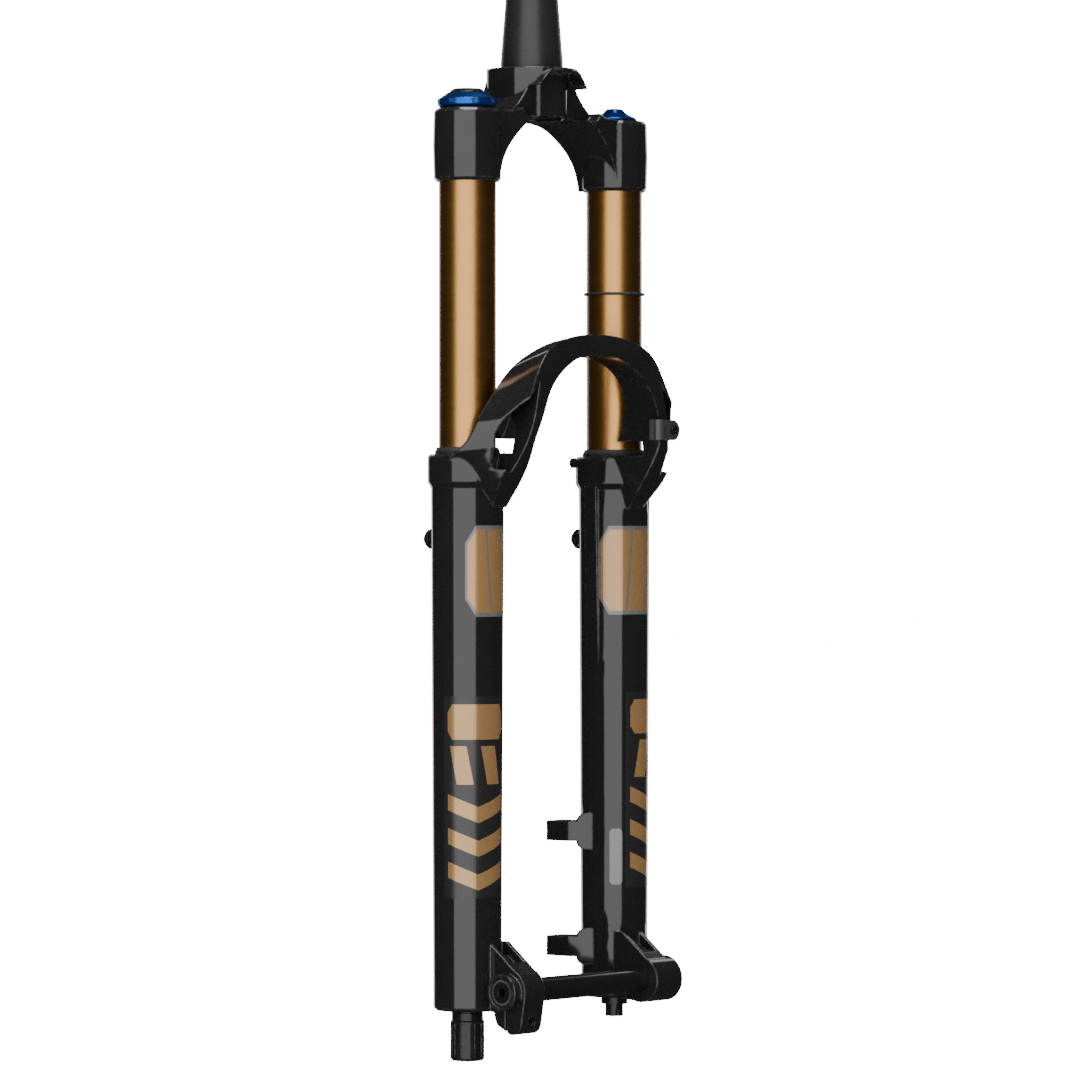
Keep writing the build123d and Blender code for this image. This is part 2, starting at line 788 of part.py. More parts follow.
def topout_bumper():
    low = stanchion_bottom + 15
    return tube(9.5, air_shaft_radius + free_gap, low, low + 9, leg_x, leg_y)


def air_foot_nut():
    """The small notched nut under the left leg."""
    body = foot_bolt(1, 8.6)
    barrel = tube(5.8, foot_bolt_bore, leg_foot - 13, leg_foot - 5, leg_x, leg_y)
    notches = Pos(leg_x, leg_y, 0) * notches_round(5.8, 1.4, leg_foot - 14, leg_foot - 8.5, 6, 2.2)
    return body + barrel - notches


# ---- axle, clamps and small fittings ----
def axle():
    body = rod_x(axle_radius, -head_seat, dropout_face - 0.5, axle_y, axle_z)
    body += rod_x(axle_head_radius, -dropout_face + 0.5, -head_seat, axle_y, axle_z)
    body -= rod_x(axle_radius - 2.2, -hub_face, dropout_face, axle_y, axle_z)
    socket = extrude(Plane.YZ * RegularPolygon(3.0, 6, major_radius=False), 9)
    return body - Pos(-dropout_face, axle_y, axle_z) * socket


def pinch_screw():
    head_face = axle_y - 11.5
    body = rod_y(pinch_screw_radius, head_face, axle_y + 8, pinch_x, pinch_z)
    body += rod_y(pinch_head_radius, head_face, axle_y - 8, pinch_x, pinch_z)
    socket = extrude(Plane.XZ * RegularPolygon(1.5, 6, major_radius=False), 2.2, both=True)
    return body - Pos(pinch_x, head_face, pinch_z) * socket


def hose_guide():
    """A clamp with a half-round channel for the brake hose and a rounded ear for its screw."""
    low = guide_y
    high = low - guide_thickness
    hose_x = leg_x - 17.5
    left = hose_x - 8
    half = guide_height / 2
    plate = Pos((left + guide_screw_x) / 2, (low + high) / 2, guide_z)
    plate *= Box(guide_screw_x - left, guide_thickness, guide_height)
    body = plate + rod_y(half, high, low, guide_screw_x, guide_z)
    body += rod(guide_hose_radius + 1.9, guide_z - half, guide_z + half, hose_x, low - 1)
    body -= rod(guide_hose_radius, guide_z - half - 1, guide_z + half + 1, hose_x, low - 1)
    body -= Pos(hose_x, low - 1 + 10, guide_z) * Box(2 * guide_hose_radius, 20, guide_height + 2)
    body -= Pos(hose_x, low + 10, guide_z) * Box(40, 20, guide_height + 2)
    return body - rod_y(guide_screw_radius, high - 1, low + 1, guide_screw_x, guide_z)


def hose_guide_screw():
    high = guide_y - guide_thickness
    body = rod_y(guide_screw_radius, high, guide_y + 8, guide_screw_x, guide_z)
    body += rod_y(2.8, high - 1.6, high, guide_screw_x, guide_z)
    socket = extrude(Plane.XZ * RegularPolygon(1.25, 6, major_radius=False), 1.2, both=True)
    return body - Pos(guide_screw_x, high - 1.6, guide_z) * socket


def bleeder_button(side):
    """The push button that lets trapped air out of a lower leg."""
    end = leg_y + bleeder_reach
    cap = [
        (0, 0), (bleeder_radius, 0), (bleeder_radius, 2.6),
        (bleeder_radius - 2.4, bleeder_button_height), (0, bleeder_button_height)]
    stem = rod(bleeder_stem_radius, -5.0, 0)
    return Pos(side * leg_x, end - bleeder_button_height, bleeder_z) * Rot(-90, 0, 0) * (turned(cap) + stem)


# ---- every piece by its name ----
def all_pieces():
    pieces = {
        "steerer_tube": steerer_tube(),
        "crown": crown(),
        "damper_top_cap": damper_top_cap(),
        "compression_knob": compression_knob(),
        "compression_dial": compression_dial(),
        "damper_cartridge": damper_cartridge(),
        "compression_valve": compression_valve(),
        "damper_seal_head": damper_seal_head(),
        "damper_piston": damper_piston(),
        "damper_shaft": foot_shaft(-1, damper_shaft_radius, damper_shaft_high),
        "damper_foot_bolt": foot_bolt(-1, 8.2 - running_gap),
        "rebound_adjuster": rebound_adjuster(),
        "foot_cover": foot_cover(),
        "air_top_cap": air_top_cap(),
        "air_valve": air_valve(),
        "air_cap": air_cap(),
        "air_piston": air_piston(),
        "air_shaft": foot_shaft(1, air_shaft_radius, air_shaft_high),
        "air_seal_head": air_seal_head(),
        "topout_bumper": topout_bumper(),
        "air_foot_nut": air_foot_nut(),
        "travel_ring": travel_ring(),
        "lower_legs": lower_legs(),
        "axle": axle(),
        "pinch_screw": pinch_screw(),
        "hose_guide": hose_guide(),
        "hose_guide_screw": hose_guide_screw(),
    }
    for number in range(spacer_count):
        pieces[f"volume_spacer_{number + 1}"] = volume_spacer(number)
    for name, side in sides.items():
        pieces["stanchion_" + name] = stanchion(side)
        pieces["wiper_seal_" + name] = wiper_seal(side)
        pieces["foam_ring_" + name] = foam_ring(side)
        pieces["upper_bushing_" + name] = bushing(side, upper_bushing_high)
        pieces["lower_bushing_" + name] = bushing(side, upper_bushing_high - bushing_spacing)
        pieces["bleeder_button_" + name] = bleeder_button(side)
    return pieces


os.makedirs("parts", exist_ok=True)
for node, shape in all_pieces().items():
    export_step(shape, f"parts/{node}.step")
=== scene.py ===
import json
import math
import bmesh
import bpy
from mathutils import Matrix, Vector


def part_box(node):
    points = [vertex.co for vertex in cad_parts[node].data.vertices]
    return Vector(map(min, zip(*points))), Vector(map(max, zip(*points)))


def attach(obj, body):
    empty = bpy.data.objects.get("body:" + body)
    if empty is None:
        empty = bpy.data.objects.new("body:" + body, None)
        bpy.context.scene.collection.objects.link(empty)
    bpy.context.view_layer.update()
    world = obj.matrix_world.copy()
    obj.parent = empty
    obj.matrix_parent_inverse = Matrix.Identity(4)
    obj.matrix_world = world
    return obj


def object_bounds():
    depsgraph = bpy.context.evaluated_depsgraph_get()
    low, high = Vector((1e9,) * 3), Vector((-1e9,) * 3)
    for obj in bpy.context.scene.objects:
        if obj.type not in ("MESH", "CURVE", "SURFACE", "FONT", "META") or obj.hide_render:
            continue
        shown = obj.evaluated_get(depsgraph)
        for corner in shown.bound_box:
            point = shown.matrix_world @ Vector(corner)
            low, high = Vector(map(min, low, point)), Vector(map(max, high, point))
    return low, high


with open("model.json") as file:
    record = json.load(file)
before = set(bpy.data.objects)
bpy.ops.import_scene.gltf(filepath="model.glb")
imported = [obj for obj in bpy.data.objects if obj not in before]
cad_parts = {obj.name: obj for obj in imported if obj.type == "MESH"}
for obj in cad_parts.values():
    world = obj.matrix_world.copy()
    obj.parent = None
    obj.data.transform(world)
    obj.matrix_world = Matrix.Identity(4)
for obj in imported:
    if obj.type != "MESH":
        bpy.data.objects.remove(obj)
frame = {"nodes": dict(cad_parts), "record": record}
cadBox = [list(corner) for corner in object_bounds()]
nodes = frame["nodes"]
print("frame loaded:", len(nodes), "nodes")

# ------- camera, floor and light -------
cameraView = {
    "azimuth": -49.2,       # degrees round from the front, towards the rider's right
    "distance": 3.5,        # metres from the aim point
    "lens": 183.0,          # millimetres on a 36 mm sensor
    "aimHeight": -0.2996,   # aim point's z
    "aimAside": 0.0052,     # aim point's step to the right of the steering axis, as seen
}


def makeCamera(view):
    turn = math.radians(view["azimuth"])
    towards = Vector((math.sin(turn), -math.cos(turn), 0.0))
    aside = Vector((math.cos(turn), math.sin(turn), 0.0))
    aim = aside * view["aimAside"] + Vector((0, 0, view["aimHeight"]))
    data = bpy.data.cameras.new("camera")
    data.lens = view["lens"]
    data.sensor_width = 36.0
    data.clip_end = 50.0
    camera = bpy.data.objects.new("camera", data)
    camera.location = aim + towards * view["distance"]
    camera.rotation_euler = (-towards).to_track_quat("-Z", "Y").to_euler()
    bpy.context.scene.collection.objects.link(camera)
    bpy.context.scene.camera = camera


makeCamera(cameraView)
print("camera set")

studio = {
    "floorColor": (0.86, 0.86, 0.86),
    "floorSize": 60.0,          # metres, square
    "floorGap": 0.004,          # below the fork's lowest point
    "floorSeen": 16.0,          # glow that lifts the floor to the backdrop's tone
    "roomSeen": 16.0,           # backdrop, as the camera sees it
    "roomFill": 0.5,            # soft light from all round
    "roomReflected": 0.035,     # how bright the room is in glossy paint
}
softboxes = {                   # turn from the camera, height, distance, size and watts
    "frontWall": (-9, 0.1, 2.6, (3.7, 3.4), 110),
    "leftRim": (-152, 0.2, 2.4, (0.5, 2.8), 10),
    "rightRim": (150, 0.2, 2.4, (0.5, 2.8), 10),
    "topPanel": (10, 2.4, 0.9, (1.6, 1.6), 80),
}


def mixByRay(tree, rayName, plain, forRay):
    path = tree.nodes.new("ShaderNodeLightPath")
    level = tree.nodes.new("ShaderNodeMapRange")
    level.inputs["To Min"].default_value = plain
    level.inputs["To Max"].default_value = forRay
    tree.links.new(path.outputs[rayName], level.inputs["Value"])
    return level.outputs["Result"]


def makeFloor(values):
    half = values["floorSize"] / 2
    low = cadBox[0][2] - values["floorGap"]
    mesh = bpy.data.meshes.new("floor")
    corners = [(-half, -half, low), (half, -half, low), (half, half, low), (-half, half, low)]
    mesh.from_pydata(corners, [], [(0, 1, 2, 3)])
    material = bpy.data.materials.new("floorPaint")
    material.use_nodes = True
    tree = material.node_tree
    shader = tree.nodes["Principled BSDF"]
    shader.inputs["Roughness"].default_value = 0.9
    shader.inputs["Emission Color"].default_value = (1, 1, 1, 1)
    shader.inputs["Base Color"].default_value = (*values["floorColor"], 1)
    seen = mixByRay(tree, "Is Camera Ray", 0.0, values["floorSeen"])
    tree.links.new(seen, shader.inputs["Emission Strength"])
    mesh.materials.append(material)
    floor = bpy.data.objects.new("floor", mesh)
    floor.visible_glossy = False
    floor.visible_shadow = False
    bpy.context.scene.collection.objects.link(floor)


def makeRoom(values):
    world = bpy.data.worlds.new("room")
    world.use_nodes = True
    tree = world.node_tree
    background = tree.nodes["Background"]
    background.inputs["Color"].default_value = (1, 1, 1, 1)
    glossy = mixByRay(tree, "Is Glossy Ray", values["roomFill"], values["roomReflected"])
    seen = mixByRay(tree, "Is Camera Ray", 0.0, values["roomSeen"])
    total = tree.nodes.new("ShaderNodeMath")
    total.operation = "ADD"
    tree.links.new(glossy, total.inputs[0])
    tree.links.new(seen, total.inputs[1])
    tree.links.new(total.outputs["Value"], background.inputs["Strength"])
    bpy.context.scene.world = world


def addSoftbox(name, turn, height, distance, size, power):
    # turn is degrees round from the camera, and the lamp faces the fork's middle
    angle = math.radians(cameraView["azimuth"] + turn)
    middle = Vector((0, 0, (cadBox[0][2] + cadBox[1][2]) / 2))
    place = middle + Vector((math.sin(angle) * distance, -math.cos(angle) * distance, height))
    data = bpy.data.lights.new(name, "AREA")
    data.shape = "RECTANGLE"
    data.size, data.size_y = size
    data.energy = power
    light = bpy.data.objects.new(name, data)
    light.location = place
    light.rotation_euler = (middle - place).to_track_quat("-Z", "Y").to_euler()
    bpy.context.scene.collection.objects.link(light)


makeFloor(studio)
makeRoom(studio)
for boxName, (turn, height, distance, size, power) in softboxes.items():
    addSoftbox(boxName, turn, height, distance, size, power)
print("studio lit")


# ------- shared shader groups -------
def newGroup(name, inputs, outputs):
    # inputs maps a name to (kind, default); outputs maps a name to its kind
    tree = bpy.data.node_groups.new(name, "ShaderNodeTree")
    for label, (kind, value) in inputs.items():
        socket = tree.interface.new_socket(label, in_out="INPUT", socket_type=kind)
        if value is not None:
            socket.default_value = value
    for label, kind in outputs.items():
        tree.interface.new_socket(label, in_out="OUTPUT", socket_type=kind)
    start = tree.nodes.new("NodeGroupInput")
    end = tree.nodes.new("NodeGroupOutput")
    return tree, start, end


def addNode(tree, kind, settings=None, **sockets):
    node = tree.nodes.new(kind)
    for key, value in (settings or {}).items():
        setattr(node, key, value)
    for key, value in sockets.items():
        label = key.replace("_", " ")
        socket = node.inputs[int(key[1:])] if key[0] == "i" and key[1:].isdigit() else node.inputs[label]
        if isinstance(value, bpy.types.NodeSocket):
            tree.links.new(value, socket)
        else:
            socket.default_value = value
    return node


def buildFineGrain():
    # small all-over unevenness: a height for a bump and a mask for roughness
    tree, start, end = newGroup(
        "fineGrain",
        {"Vector": ("NodeSocketVector", None), "Size": ("NodeSocketFloat", 1500.0),
         "Patches": ("NodeSocketFloat", 60.0)},
        {"Height": "NodeSocketFloat", "Mask": "NodeSocketFloat"})
    vector = start.outputs["Vector"]
    fine = addNode(tree, "ShaderNodeTexNoise", Vector=vector, Scale=start.outputs["Size"], Detail=3.0)
    broad = addNode(tree, "ShaderNodeTexNoise", Vector=vector, Scale=start.outputs["Patches"], Detail=4.0)
    tree.links.new(fine.outputs["Fac"], end.inputs["Height"])
    tree.links.new(broad.outputs["Fac"], end.inputs["Mask"])
    return tree


def buildBrushLines():
    # lines left by a lathe or a grinding belt: noise squeezed along one direction
    tree, start, end = newGroup(
        "brushLines",
        {"Vector": ("NodeSocketVector", None), "Stretch": ("NodeSocketVector", (60.0, 60.0, 4000.0))},
        {"Height": "NodeSocketFloat", "Mask": "NodeSocketFloat"})
    scaled = addNode(tree, "ShaderNodeVectorMath", {"operation": "MULTIPLY"},
                     i0=start.outputs["Vector"], i1=start.outputs["Stretch"])
    lines = addNode(tree, "ShaderNodeTexNoise", Vector=scaled.outputs["Vector"], Scale=1.0, Detail=4.0)
    broad = addNode(tree, "ShaderNodeMapRange", Value=lines.outputs["Fac"])
    broad.inputs["From Min"].default_value = 0.35
    broad.inputs["From Max"].default_value = 0.65
    tree.links.new(lines.outputs["Fac"], end.inputs["Height"])
    tree.links.new(broad.outputs["Result"], end.inputs["Mask"])
    return tree


def buildEdgeWearAndHighlight():
    # a mask of the sharp outer edges, broken up by noise, that lays a lighter colour on them: partly
    # rubbed wear, partly a painted highlight along the edges; and a normal that rounds them
    tree, start, end = newGroup(
        "edgeWearAndHighlight",
        {"Vector": ("NodeSocketVector", None), "Radius": ("NodeSocketFloat", 0.001),
         "Breakup": ("NodeSocketFloat", 220.0)},
        {"Mask": "NodeSocketFloat", "Normal": "NodeSocketVector"})
    rounded = addNode(tree, "ShaderNodeBevel", {"samples": 6}, Radius=start.outputs["Radius"])
    geometry = addNode(tree, "ShaderNodeNewGeometry")
    turn = addNode(tree, "ShaderNodeVectorMath", {"operation": "DOT_PRODUCT"},
                   i0=rounded.outputs["Normal"], i1=geometry.outputs["Normal"])
    sharp = addNode(tree, "ShaderNodeMapRange", Value=turn.outputs["Value"])
    sharp.inputs["From Min"].default_value = 0.995
    sharp.inputs["From Max"].default_value = 0.90
    noise = addNode(tree, "ShaderNodeTexNoise", Vector=start.outputs["Vector"],
                    Scale=start.outputs["Breakup"], Detail=5.0)
    broken = addNode(tree, "ShaderNodeMapRange", Value=noise.outputs["Fac"])
    broken.inputs["From Min"].default_value = 0.42
    broken.inputs["From Max"].default_value = 0.62
    mask = addNode(tree, "ShaderNodeMath", {"operation": "MULTIPLY"},
                   i0=sharp.outputs["Result"], i1=broken.outputs["Result"])
    tree.links.new(mask.outputs["Value"], end.inputs["Mask"])
    tree.links.new(rounded.outputs["Normal"], end.inputs["Normal"])
    return tree


def buildDustFilm():
    # a thin film that settles on faces that look up, and in small specks
    tree, start, end = newGroup(
        "dustFilm",
        {"Vector": ("NodeSocketVector", None), "Amount": ("NodeSocketFloat", 0.2)},
        {"Mask": "NodeSocketFloat"})
    geometry = addNode(tree, "ShaderNodeNewGeometry")
    split = addNode(tree, "ShaderNodeSeparateXYZ", Vector=geometry.outputs["Normal"])
    upward = addNode(tree, "ShaderNodeMapRange", Value=split.outputs["Z"])
    upward.inputs["From Min"].default_value = 0.1
    upward.inputs["From Max"].default_value = 0.95
    specks = addNode(tree, "ShaderNodeTexNoise", Vector=start.outputs["Vector"], Scale=900.0, Detail=2.0)
    spots = addNode(tree, "ShaderNodeMapRange", Value=specks.outputs["Fac"])
    spots.inputs["From Min"].default_value = 0.4
    spots.inputs["From Max"].default_value = 0.75
    both = addNode(tree, "ShaderNodeMath", {"operation": "MULTIPLY"},
                   i0=upward.outputs["Result"], i1=spots.outputs["Result"])
    mask = addNode(tree, "ShaderNodeMath", {"operation": "MULTIPLY"},
                   i0=both.outputs["Value"], i1=start.outputs["Amount"])
    tree.links.new(mask.outputs["Value"], end.inputs["Mask"])
    return tree


groups = {
    "fineGrain": buildFineGrain(),
    "brushLines": buildBrushLines(),
    "edgeWearAndHighlight": buildEdgeWearAndHighlight(),
    "dustFilm": buildDustFilm(),
}
print("shader groups built")

# ------- materials: one row of values each -------
finishes = {
    # color, second color for its variation, metallic, roughness low and high, coat, edge color and amount
    # (rubbed wear and a painted edge highlight), bevel radius, bump metres, grain size, brush stretch
    # (None for cast and moulded), dust
    "casting_gloss": dict(color=(0.006, 0.006, 0.0065), other=(0.009, 0.009, 0.0095), metallic=0.0,
                          rough=(0.045, 0.085), coat=0.0, wornAndLit=(0.10, 0.10, 0.105), wearAndHighlight=0.35,
                          bevel=0.0018, bump=0.000002, grain=260.0, brush=None, dust=0.05),
    "crown_gloss": dict(color=(0.006, 0.006, 0.0065), other=(0.010, 0.010, 0.0105), metallic=0.0,
                        rough=(0.05, 0.10), coat=0.0, wornAndLit=(0.16, 0.16, 0.165), wearAndHighlight=0.30,
                        bevel=0.0018, bump=0.000002, grain=340.0, brush=None, dust=0.05),
    "steerer_anodised": dict(color=(0.022, 0.022, 0.023), other=(0.030, 0.030, 0.031), metallic=0.55,
                             rough=(0.30, 0.40), coat=0.0, wornAndLit=(0.22, 0.22, 0.23), wearAndHighlight=0.5,
                             bevel=0.0004, bump=0.000006, grain=2200.0, brush=(40, 40, 3600), dust=0.1),
    "gold_coat": dict(color=(0.52, 0.265, 0.070), other=(0.44, 0.215, 0.052), metallic=1.0,
                      rough=(0.30, 0.36), coat=0.5, coatRough=0.22, wornAndLit=(0.56, 0.32, 0.12), wearAndHighlight=0.2,
                      bevel=0.0003, bump=0.0000006, grain=2600.0, brush=(30, 30, 2200), dust=0.0),
    "blue_anodised": dict(color=(0.006, 0.085, 0.42), other=(0.005, 0.066, 0.33), metallic=0.9,
                          rough=(0.18, 0.28), coat=0.0, wornAndLit=(0.35, 0.45, 0.62), wearAndHighlight=0.5,
                          bevel=0.0004, bump=0.000006, grain=2400.0, brush=(2600, 2600, 60), dust=0.1),
    "black_anodised": dict(color=(0.010, 0.010, 0.011), other=(0.016, 0.016, 0.017), metallic=0.5,
                           rough=(0.20, 0.30), coat=0.0, wornAndLit=(0.22, 0.22, 0.23), wearAndHighlight=0.5,
                           bevel=0.0004, bump=0.000005, grain=2200.0, brush=(60, 60, 3000), dust=0.08),
    "axle_anodised": dict(color=(0.010, 0.010, 0.0105), other=(0.014, 0.014, 0.015), metallic=0.5,
                          rough=(0.13, 0.21), coat=0.0, wornAndLit=(0.26, 0.26, 0.27), wearAndHighlight=0.5,
                          bevel=0.0004, bump=0.000004, grain=2600.0, brush=(4200, 40, 40), dust=0.05),
    "brass_fitting": dict(color=(0.50, 0.34, 0.12), other=(0.42, 0.27, 0.09), metallic=1.0,
                          rough=(0.22, 0.34), coat=0.0, wornAndLit=(0.7, 0.5, 0.22), wearAndHighlight=0.4,
                          bevel=0.0002, bump=0.000004, grain=2600.0, brush=(50, 50, 4000), dust=0.0),
    "black_steel": dict(color=(0.014, 0.014, 0.015), other=(0.020, 0.019, 0.018), metallic=0.7,
                        rough=(0.28, 0.42), coat=0.0, wornAndLit=(0.30, 0.29, 0.28), wearAndHighlight=0.6,
                        bevel=0.0003, bump=0.000006, grain=2000.0, brush=(900, 900, 900), dust=0.05),
    "guide_plastic": dict(color=(0.030, 0.030, 0.031), other=(0.022, 0.022, 0.023), metallic=0.0,
                          rough=(0.34, 0.48), coat=0.0, wornAndLit=(0.06, 0.06, 0.06), wearAndHighlight=0.5,
                          bevel=0.0005, bump=0.000012, grain=3600.0, brush=None, dust=0.1),
    "seal_rubber": dict(color=(0.009, 0.009, 0.009), other=(0.014, 0.014, 0.0135), metallic=0.0,
                        rough=(0.50, 0.66), coat=0.0, wornAndLit=(0.03, 0.03, 0.03), wearAndHighlight=0.4,
                        bevel=0.0003, bump=0.000012, grain=3000.0, brush=None, dust=0.12),
    "foam": dict(color=(0.20, 0.20, 0.19), other=(0.12, 0.12, 0.11), metallic=0.0,
                 rough=(0.8, 0.95), coat=0.0, wornAndLit=(0.2, 0.2, 0.2), wearAndHighlight=0.1,
                 bevel=0.0004, bump=0.000150, grain=1100.0, brush=None, dust=0.0),
    "bushing_liner": dict(color=(0.22, 0.22, 0.20), other=(0.16, 0.16, 0.15), metallic=0.6,
                          rough=(0.35, 0.5), coat=0.0, wornAndLit=(0.4, 0.38, 0.34), wearAndHighlight=0.4,
                          bevel=0.0003, bump=0.000008, grain=1800.0, brush=(60, 60, 2600), dust=0.0),
    "bare_aluminium": dict(color=(0.60, 0.60, 0.61), other=(0.52, 0.52, 0.53), metallic=1.0,
                           rough=(0.24, 0.38), coat=0.0, wornAndLit=(0.7, 0.7, 0.7), wearAndHighlight=0.3,
                           bevel=0.0003, bump=0.000006, grain=2400.0, brush=(50, 50, 3600), dust=0.0),
    "shaft_chrome": dict(color=(0.62, 0.62, 0.63), other=(0.58, 0.58, 0.60), metallic=1.0,
                         rough=(0.06, 0.12), coat=0.0, wornAndLit=(0.7, 0.7, 0.7), wearAndHighlight=0.2,
                         bevel=0.0002, bump=0.000002, grain=2400.0, brush=(30, 30, 5200), dust=0.0),
    "spacer_plastic": dict(color=(0.42, 0.085, 0.030), other=(0.34, 0.065, 0.022), metallic=0.0,
                           rough=(0.36, 0.5), coat=0.0, wornAndLit=(0.5, 0.2, 0.12), wearAndHighlight=0.3,
                           bevel=0.0005, bump=0.000010, grain=2600.0, brush=None, dust=0.0),
    # films and inks laid on the lower legs
    "graphic_gold": dict(color=(0.36, 0.205, 0.085), other=(0.31, 0.175, 0.068), metallic=0.55,
                         rough=(0.16, 0.24), coat=0.6, wornAndLit=(0.20, 0.13, 0.07), wearAndHighlight=0.5,
                         bevel=0.0001, bump=0.000003, grain=5200.0, brush=None, dust=0.0),
    "graphic_grey": dict(color=(0.105, 0.105, 0.108), other=(0.085, 0.085, 0.088), metallic=0.2,
                         rough=(0.14, 0.22), coat=0.6, wornAndLit=(0.06, 0.06, 0.06), wearAndHighlight=0.4,
                         bevel=0.0001, bump=0.000003, grain=5200.0, brush=None, dust=0.0),
    "graphic_film": dict(color=(0.0125, 0.0122, 0.0125), other=(0.0095, 0.0095, 0.0098), metallic=0.0,
                         rough=(0.20, 0.28), coat=0.0, wornAndLit=(0.03, 0.03, 0.03), wearAndHighlight=0.4,
                         bevel=0.0001, bump=0.000003, grain=4200.0, brush=None, dust=0.0),
}


def useGroup(tree, name, **values):
    node = tree.nodes.new("ShaderNodeGroup")
    node.node_tree = groups[name]
    for key, value in values.items():
        if isinstance(value, bpy.types.NodeSocket):
            tree.links.new(value, node.inputs[key])
        else:
            node.inputs[key].default_value = value
    return node


def blendColor(tree, factor, first, second):
    mix = tree.nodes.new("ShaderNodeMix")
    mix.data_type = "RGBA"
    tree.links.new(factor, mix.inputs["Factor"])
    for label, value in (("A", first), ("B", second)):
        socket = [s for s in mix.inputs if s.name == label and s.type == "RGBA"][0]
        if isinstance(value, bpy.types.NodeSocket):
            tree.links.new(value, socket)
        else:
            socket.default_value = (*value, 1)
    return [s for s in mix.outputs if s.type == "RGBA"][0]


def makeMaterial(name, values):
    material = bpy.data.materials.new(name)
    material.use_nodes = True
    tree = material.node_tree
    shader = tree.nodes["Principled BSDF"]
    shader.inputs["Metallic"].default_value = values["metallic"]
    shader.inputs["Coat Weight"].default_value = values["coat"]
    shader.inputs["Coat Roughness"].default_value = values.get("coatRough", 0.08)
    place = tree.nodes.new("ShaderNodeTexCoord").outputs["Object"]
    grain = useGroup(tree, "fineGrain", Vector=place, Size=values["grain"], Patches=55.0)
    wearAndHighlight = useGroup(tree, "edgeWearAndHighlight", Vector=place, Radius=values["bevel"], Breakup=240.0)
    dust = useGroup(tree, "dustFilm", Vector=place, Amount=values["dust"])
    base = blendColor(tree, grain.outputs["Mask"], values["color"], values["other"])
    # lighter colour on the sharp edges: partly rubbed wear, partly a painted highlight along the edges
    rubAndHighlight = addNode(tree, "ShaderNodeMath", {"operation": "MULTIPLY"},
                  i0=wearAndHighlight.outputs["Mask"], i1=values["wearAndHighlight"])
    wornAndLit = blendColor(tree, rubAndHighlight.outputs["Value"], base, values["wornAndLit"])
    dusty = blendColor(tree, dust.outputs["Mask"], wornAndLit, (0.30, 0.29, 0.27))
    tree.links.new(dusty, shader.inputs["Base Color"])
    height, patch = grain.outputs["Height"], grain.outputs["Mask"]
    if values["brush"]:
        lines = useGroup(tree, "brushLines", Vector=place, Stretch=values["brush"])
        height, patch = lines.outputs["Height"], lines.outputs["Mask"]
    rough = addNode(tree, "ShaderNodeMapRange", Value=patch)
    rough.inputs["To Min"].default_value, rough.inputs["To Max"].default_value = values["rough"]
    dustRough = addNode(tree, "ShaderNodeMath", {"operation": "ADD"},
                        i0=rough.outputs["Result"], i1=dust.outputs["Mask"])
    tree.links.new(dustRough.outputs["Value"], shader.inputs["Roughness"])
    bump = addNode(tree, "ShaderNodeBump", Strength=1.0, Height=height, Normal=wearAndHighlight.outputs["Normal"])
    bump.inputs["Distance"].default_value = values["bump"]
    tree.links.new(bump.outputs["Normal"], shader.inputs["Normal"])
    return material


materials = {name: makeMaterial(name, values) for name, values in finishes.items()}
slotOf = {part["node"]: part["material_slot"] for part in frame["record"]["subparts"]}
for name, obj in nodes.items():
    obj.data.materials.clear()
    obj.data.materials.append(materials[slotOf[name]])
print("materials on", len(nodes), "nodes")

# ------- graphics: thin films laid round the lower legs -------
graphics = {
    "lift": 0.00007,            # outer face above the paint
    "sink": 0.00005,            # inner face below the paint
    "stepDegrees": 4.0,         # facets round the leg
    "topRadius": 0.0229,        # leg radius under the collar
    "topHeight": -0.2673,
    "footRadius": 0.0213,       # leg radius at the foot
    "footHeight": -0.592,
}
legAxis = (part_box("stanchion_left")[0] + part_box("stanchion_left")[1]) / 2


def legRadius(height):
    span = graphics["topHeight"] - graphics["footHeight"]
    share = (height - graphics["footHeight"]) / span
    return graphics["footRadius"] + share * (graphics["topRadius"] - graphics["footRadius"])


def wrapOnLeg(side, turn, height, lift):
    # turn is degrees from the front towards the outboard side
    angle = math.radians(turn)
    radius = legRadius(height) + lift
    across = side * (legAxis.x + radius * math.sin(angle))
    return Vector((across, legAxis.y - radius * math.cos(angle), height))


def addFilm(name, side, outlines, materialName, lift=1.0):
    # each outline is a closed list of (turn, height in millimetres below the crown seat)
    bm = bmesh.new()
    for outline in outlines:
        corners = [bm.verts.new((turn, -down / 1000, 0)) for turn, down in outline]
        bm.faces.new(corners)
    start = math.ceil(min(v.co.x for v in bm.verts))
    end = math.floor(max(v.co.x for v in bm.verts))
    turn = start
    while turn < end:
        everything = bm.verts[:] + bm.edges[:] + bm.faces[:]
        bmesh.ops.bisect_plane(bm, geom=everything, dist=0.001, plane_co=(turn, 0, 0), plane_no=(1, 0, 0))
        turn += graphics["stepDegrees"]
    top = graphics["lift"] * lift
    outer = {v: wrapOnLeg(side, v.co.x, v.co.y, top) for v in bm.verts}
    inner = {v: wrapOnLeg(side, v.co.x, v.co.y, -graphics["sink"]) for v in bm.verts}
    grown = bmesh.ops.extrude_face_region(bm, geom=bm.faces[:], use_keep_orig=True)
    raised = [item for item in grown["geom"] if isinstance(item, bmesh.types.BMVert)]
    bm.verts.ensure_lookup_table()
    flat = {(round(v.co.x, 4), round(v.co.y, 6)): place for v, place in outer.items()}
    for v, place in inner.items():
        v.co = place
    for v in raised:
        v.co = flat[(round(v.co.x, 4), round(v.co.y, 6))]
    bmesh.ops.recalc_face_normals(bm, faces=bm.faces)
    mesh = bpy.data.meshes.new(name)
    bm.to_mesh(mesh)
    bm.free()
    mesh.materials.append(materials[materialName])
    film = bpy.data.objects.new(name, mesh)
    bpy.context.scene.collection.objects.link(film)
    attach(film, "lowers")


